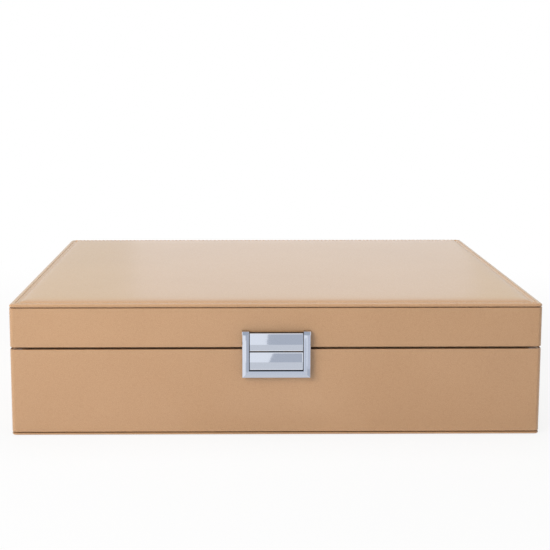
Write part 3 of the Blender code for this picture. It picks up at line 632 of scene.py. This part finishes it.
def swollen_pad(low, high, swell, glued_below, cell):
    """A closed bag, filled by pressure, whose glued side stays flat and whose cloth moves no more than swell."""
    room = Vector((pad_side_room, pad_side_room, 0))
    inner_low = low + room + Vector((0, 0, 0 if glued_below else swell))
    inner_high = high - room - Vector((0, 0, swell if glued_below else 0))
    shape = box_shape(inner_low, inner_high)
    span = inner_high - inner_low
    for axis, cuts in ((0, round(span.x / cell)), (1, round(span.y / cell)), (2, 2)):
        edges = [edge for edge in shape.edges if along_axis(edge, axis)]
        bmesh.ops.subdivide_edges(shape, edges=edges, cuts=cuts - 1, use_grid_fill=True)
    mesh = bpy.data.meshes.new("pad")
    shape.to_mesh(mesh)
    shape.free()
    bag = bpy.data.objects.new("pad", mesh)
    bpy.context.scene.collection.objects.link(bag)
    glued_level = inner_low.z if glued_below else inner_high.z
    glued = bag.vertex_groups.new(name="glued")
    glued.add([v.index for v in mesh.vertices if abs(v.co.z - glued_level) < tolerance], 1, "REPLACE")
    cloth = bag.modifiers.new("cloth", "CLOTH")
    cloth.settings.use_pressure = True
    cloth.settings.uniform_pressure_force = pad_pressure
    cloth.settings.vertex_group_mass = "glued"
    cloth.settings.effector_weights.gravity = 0
    for frame_number in range(1, settling_frames + 1):
        bpy.context.scene.frame_set(frame_number)
    filled = bag.evaluated_get(bpy.context.evaluated_depsgraph_get()).data
    moves = [new.co - old.co for new, old in zip(filled.vertices, mesh.vertices)]
    for vert, move in zip(mesh.vertices, moves):
        vert.co += move * min(1, swell / max(move.length, 1e-9))
    bag.modifiers.remove(cloth)
    bpy.data.objects.remove(bag)
    bpy.context.scene.frame_set(1)
    return mesh


def place_pad(name, mesh, body, node):
    mesh.materials.append(velvet)
    mesh.shade_smooth()
    pad = bpy.data.objects.new(name, mesh)
    bpy.context.scene.collection.objects.link(pad)
    smooth = pad.modifiers.new("smooth", "SUBSURF")
    smooth.levels = smooth.render_levels = 1
    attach(pad, body)
    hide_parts(node)


first_low, first_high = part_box("floor_pad_1")
floor_pad = swollen_pad(first_low, first_high, pad_swell, True, pad_cell)
for number in range(1, 9):
    low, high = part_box(f"floor_pad_{number}")
    copy = floor_pad.copy()
    middle = (first_low + first_high) / 2
    half_turn = Matrix.Rotation(math.pi * (number % 2), 4, "Z")
    copy.transform(Matrix.Translation((low + high) / 2) @ half_turn @ Matrix.Translation(-middle))
    place_pad(f"compartment_pad_{number}", copy, "base", f"floor_pad_{number}")
low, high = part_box("lid_pad")
place_pad("lid_panel", swollen_pad(low, high, pad_swell, False, 2 * pad_cell), "lid", "lid_pad")


# Hinges. Plated steel leaves let into both rims, their knuckles behind the case round a riveted pin, each leaf
# held by two countersunk screws with cross slots.


def make_metal(name, light, dark, roughness, streaks):
    """Plated metal with faint brushing that runs the way the streaks are drawn out."""
    material, tree, shader = new_material(name)
    place = add(tree, "TexCoord").outputs["Object"]
    stretched = add(tree, "Mapping", {"Vector": place, "Scale": streaks})
    brushing = add(tree, "TexNoise", {"Vector": stretched.outputs[0], "Scale": 900, "Detail": 3})
    brush = spread(tree, brushing.outputs["Fac"], 0, 1, (0.3, 0.7))
    tree.links.new(blend_colours(tree, brush, dark, light), shader.inputs["Base Color"])
    tree.links.new(spread(tree, brush, *roughness), shader.inputs["Roughness"])
    shader.inputs["Metallic"].default_value = 1
    bump = add(tree, "Bump", {"Strength": 0.08, "Distance": 0.00004, "Height": brush})
    tree.links.new(bump.outputs[0], shader.inputs["Normal"])
    return material


nickel = make_metal("plated_nickel", srgb(206, 200, 188), srgb(190, 184, 172), (0.22, 0.34), (0.08, 1, 1))
steel = make_metal("zinc_steel", srgb(190, 192, 194), srgb(160, 163, 166), (0.3, 0.45), (1, 1, 1))


def merged_copy(node):
    """A CAD node's mesh with its doubles merged and its flat faces whole."""
    shape = bmesh.new()
    shape.from_mesh(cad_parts[node].data)
    bmesh.ops.remove_doubles(shape, verts=shape.verts, dist=tolerance / 2)
    bmesh.ops.dissolve_limit(
        shape, angle_limit=math.radians(1), verts=shape.verts, edges=shape.edges, use_dissolve_boundaries=False
    )
    return shape


def soften(piece, radius):
    """Breaks a metal piece's sharp edges."""
    soft = piece.modifiers.new("soft_edges", "BEVEL")
    soft.width = radius
    soft.segments = 2
    soft.limit_method = "ANGLE"
    soft.angle_limit = math.radians(40)
    even_shading(piece)


screw_head_radius = 1.4 * mm
screw_head_depth = 0.7 * mm
screw_shank_radius = 0.7 * mm
slot_half_width = 0.2 * mm
slot_reach = 0.85 * mm
slot_depth = 0.4 * mm
slot_taper = 0.7
leaf_edge = 0.12 * mm


def make_hinge_screw(name, node, body, head_up):
    """A cone on a shank, with a cross pressed into its flat head."""
    low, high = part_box(node)
    length = high.z - low.z
    shape = bmesh.new()
    bmesh.ops.create_cone(
        shape,
        cap_ends=True,
        segments=24,
        radius1=screw_shank_radius,
        radius2=screw_head_radius,
        depth=screw_head_depth,
        matrix=Matrix.Translation((0, 0, -screw_head_depth / 2)),
    )
    shank_end = min(shape.faces, key=lambda face: face.calc_center_median().z)
    drawn = bmesh.ops.extrude_face_region(shape, geom=[shank_end])
    new_verts = [item for item in drawn["geom"] if isinstance(item, bmesh.types.BMVert)]
    bmesh.ops.translate(shape, vec=(0, 0, screw_head_depth - length), verts=new_verts)

    def on_head():
        return [face for face in shape.faces if face.calc_center_median().z > -tolerance]

    for across, along in ((0, 1), (1, 0)):
        arm = cut_between(shape, on_head(), across, -slot_half_width, slot_half_width)
        cut_between(shape, arm, along, -slot_reach, slot_reach)
    cross = []
    for face in on_head():
        x, y = (abs(share) for share in face.calc_center_median().xy)
        if min(x, y) < slot_half_width and max(x, y) < slot_reach:
            cross.append(face)
    pressed = bmesh.ops.extrude_face_region(shape, geom=cross)
    new_verts = [item for item in pressed["geom"] if isinstance(item, bmesh.types.BMVert)]
    bmesh.ops.scale(shape, vec=(slot_taper, slot_taper, 1), verts=new_verts)
    bmesh.ops.translate(shape, vec=(0, 0, -slot_depth), verts=new_verts)
    turn = Matrix.Identity(4) if head_up else Matrix.Rotation(math.pi, 4, "X")
    head = Vector(((low.x + high.x) / 2, (low.y + high.y) / 2, high.z if head_up else low.z))
    bmesh.ops.transform(shape, matrix=Matrix.Translation(head) @ turn, verts=shape.verts)
    new_piece(name, shape, body, nickel, "nickel", node)


for side in ("left", "right"):
    for part, head_up in (("base", True), ("lid", False)):
        node = f"hinge_{part}_leaf_{side}"
        leaf = new_piece(f"{part}_leaf_{side}", merged_copy(node), part, nickel, "nickel", node)
        soften(leaf, leaf_edge)
        for number in (1, 2):
            node = f"hinge_{part}_screw_{side}_{number}"
            make_hinge_screw(f"{part}_leaf_screw_{side}_{number}", node, part, head_up)
    dress(steel, f"hinge_pin_{side}", f"clasp_screw_{side}", f"strike_screw_{side}")


# Clasp frame. A chromed casting screwed to the base: three legs with a ridge along them, mitred at the corners,
# and behind them a flange and a tray let into the wall, which the button slides in.


def make_chrome():
    """Polished plating: a faint waviness from casting and a few fine wiping marks."""
    material, tree, shader = new_material("polished_chrome")
    place = add(tree, "TexCoord").outputs["Object"]
    waves = add(tree, "TexNoise", {"Vector": place, "Scale": 130, "Detail": 1})
    marks = add(tree, "TexNoise", {"Vector": place, "Scale": 2600, "Detail": 2})
    mark = spread(tree, marks.outputs["Fac"], 0, 1, (0.3, 0.7))
    tree.links.new(
        blend_colours(tree, mark, srgb(222, 225, 233), srgb(229, 232, 239)), shader.inputs["Base Color"]
    )
    tree.links.new(spread(tree, mark, 0.03, 0.06), shader.inputs["Roughness"])
    shader.inputs["Metallic"].default_value = 1
    bump = add(tree, "Bump", {"Strength": 0.12, "Distance": 0.0001, "Height": waves.outputs["Fac"]})
    tree.links.new(bump.outputs[0], shader.inputs["Normal"])
    return material


chrome = make_chrome()
# dark metal for the sides and rear parts of the clasp: painted shade for the gaps between its parts
painted_shade_metal = make_metal("painted_shade_metal", srgb(84, 88, 96), srgb(62, 66, 74), (0.35, 0.5), (1, 1, 1))
case_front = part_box("base_wrap")[0].y
# points across a leg: distance in from the frame's outer edge, and distance proud of the case
leg_section = ((0, 1.2), (0, 3.9), (0.3, 4.3), (1.8, 4.85), (2.2, 5.0))
leg_section += ((2.6, 4.9), (4.05, 4.45), (4.35, 4.2), (4.35, 1.2))
leg_tip_slope = 1.9 * mm
leg_tip_proud = 2.9
flange_front = 1.25 * mm
casting_edge = 0.1 * mm


def rear_of(node, distance):
    """The part of a CAD node's mesh behind a plane in front of the case, closed again. It is dark metal, painted
    shade for the gaps round the clasp.
    """
    shape = merged_copy(node)
    cut = bmesh.ops.bisect_plane(
        shape,
        geom=[*shape.verts, *shape.edges, *shape.faces],
        dist=cut_tolerance,
        plane_co=(0, case_front - distance, 0),
        plane_no=(0, -1, 0),
        clear_outer=True,
    )
    rim = [item for item in cut["geom_cut"] if isinstance(item, bmesh.types.BMEdge)]
    bmesh.ops.holes_fill(shape, edges=rim, sides=0)
    # the rear part takes the dark metal, painted shade
    for face in shape.faces:
        face.material_index = 1
    return shape


def closed_loop(shape, points):
    verts = [shape.verts.new(point) for point in points]
    return [shape.edges.new(pair) for pair in zip(verts, verts[1:] + verts[:1])]


frame_low, frame_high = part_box("clasp_frame")
frame_half = frame_high.x
frame_shape = rear_of("clasp_frame", flange_front)


def leg_station(side, height_of, cap=None):
    """The leg's section where it is cut across, on the left (-1) or the right (1), no prouder than a cap."""
    points = []
    for inward, proud in leg_section:
        proud = min(proud, cap) if cap else proud
        across = side * (frame_half - inward * mm)
        points.append((across, case_front - proud * mm, height_of(inward * mm)))
    return closed_loop(frame_shape, points)


leg_loops = [
    leg_station(-1, lambda inward: frame_high.z, leg_tip_proud),
    leg_station(-1, lambda inward: frame_high.z - leg_tip_slope),
    leg_station(-1, lambda inward: frame_low.z + inward),
    leg_station(1, lambda inward: frame_low.z + inward),
    leg_station(1, lambda inward: frame_high.z - leg_tip_slope),
    leg_station(1, lambda inward: frame_high.z, leg_tip_proud),
]
for first, second in zip(leg_loops, leg_loops[1:]):
    bmesh.ops.bridge_loops(frame_shape, edges=[*first, *second])
for loop in (leg_loops[0], leg_loops[-1]):
    bmesh.ops.contextual_create(frame_shape, geom=loop)
clasp_casting = new_piece("clasp_casting", frame_shape, "base", chrome, "chrome", "clasp_frame", crease=8)
clasp_casting.data.materials.append(painted_shade_metal)
soften(clasp_casting, casting_edge)


# Clasp plates. The upper one is screwed to the lid and has a tongue behind it; the lower one is the push button,
# with its guide and hook. Both are chromed, with a bright border, and a face that breaks into a slope below.

plate_edge = 0.15 * mm
plate_border = 0.55 * mm
plate_swell = 0.08 * mm
plate_slope_drop = 0.5 * mm
rear_overlap = 0.05 * mm
upper_plate_low = 55.5 * mm
upper_slope, lower_slope = 4.3 * mm, 5.1 * mm
upper_rear, lower_rear = 1.2 * mm, 3.15 * mm
towards_front = -0.9
# faces turned further from the front than this take the dark metal, painted shade
painted_shade_turn = -0.25


def make_plate(name, node, body, low_z, high_z, slope_height, rear):
    """A plate in front of the plane that is rear proud of the case, and behind it the rest of the CAD node."""
    shape = rear_of(node, rear + rear_overlap)
    rear_faces = set(shape.faces)
    node_low, node_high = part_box(node)
    low = Vector((node_low.x, node_low.y + plate_swell, low_z))
    high = Vector((node_high.x, case_front - rear, high_z))
    middle, span = (low + high) / 2, high - low
    place = Matrix.Translation(middle) @ Matrix.Diagonal((*span, 1))
    bmesh.ops.create_cube(shape, size=1, matrix=place)
    faces = [face for face in shape.faces if face not in rear_faces]
    cut_between(shape, faces, 2, low_z + slope_height, high_z + slope_height)
    for vert in shape.verts:
        if abs(vert.co.y - low.y) < tolerance and abs(vert.co.z - low_z) < tolerance:
            vert.co.y += plate_slope_drop
    shape.normal_update()
    front = [face for face in shape.faces if face not in rear_faces and face.normal.y < towards_front]
    bmesh.ops.inset_region(shape, faces=front, thickness=plate_border, depth=plate_swell, use_even_offset=True)
    rim = []
    for edge in shape.edges:
        if len(edge.link_faces) == 2 and not any(face in rear_faces for face in edge.link_faces):
            if sum(face.normal.y < towards_front for face in edge.link_faces) == 1:
                rim.append(edge)
    round_edges(shape, rim, plate_edge, 2)
    # faces turned away from the front take the dark metal: painted shade in the gaps round the plates
    for face in shape.faces:
        if face.normal.y > painted_shade_turn:
            face.material_index = 1
    plate = new_piece(name, shape, body, chrome, "chrome", node, crease=4)
    plate.data.materials.append(painted_shade_metal)
    even_shading(plate)


low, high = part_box("clasp_strike")
make_plate("clasp_upper_plate", "clasp_strike", "lid", upper_plate_low, high.z, upper_slope, upper_rear)
low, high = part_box("clasp_button")
make_plate("clasp_push_plate", "clasp_button", "button", low.z, high.z, lower_slope, lower_rear)


# Button spring. A coil of plated steel wire between the floor of the tray and the pocket behind the push plate.

low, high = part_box("clasp_spring")
coil = new_piece("button_spring", merged_copy("clasp_spring"), "base", steel, "steel", "clasp_spring")
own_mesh(coil)
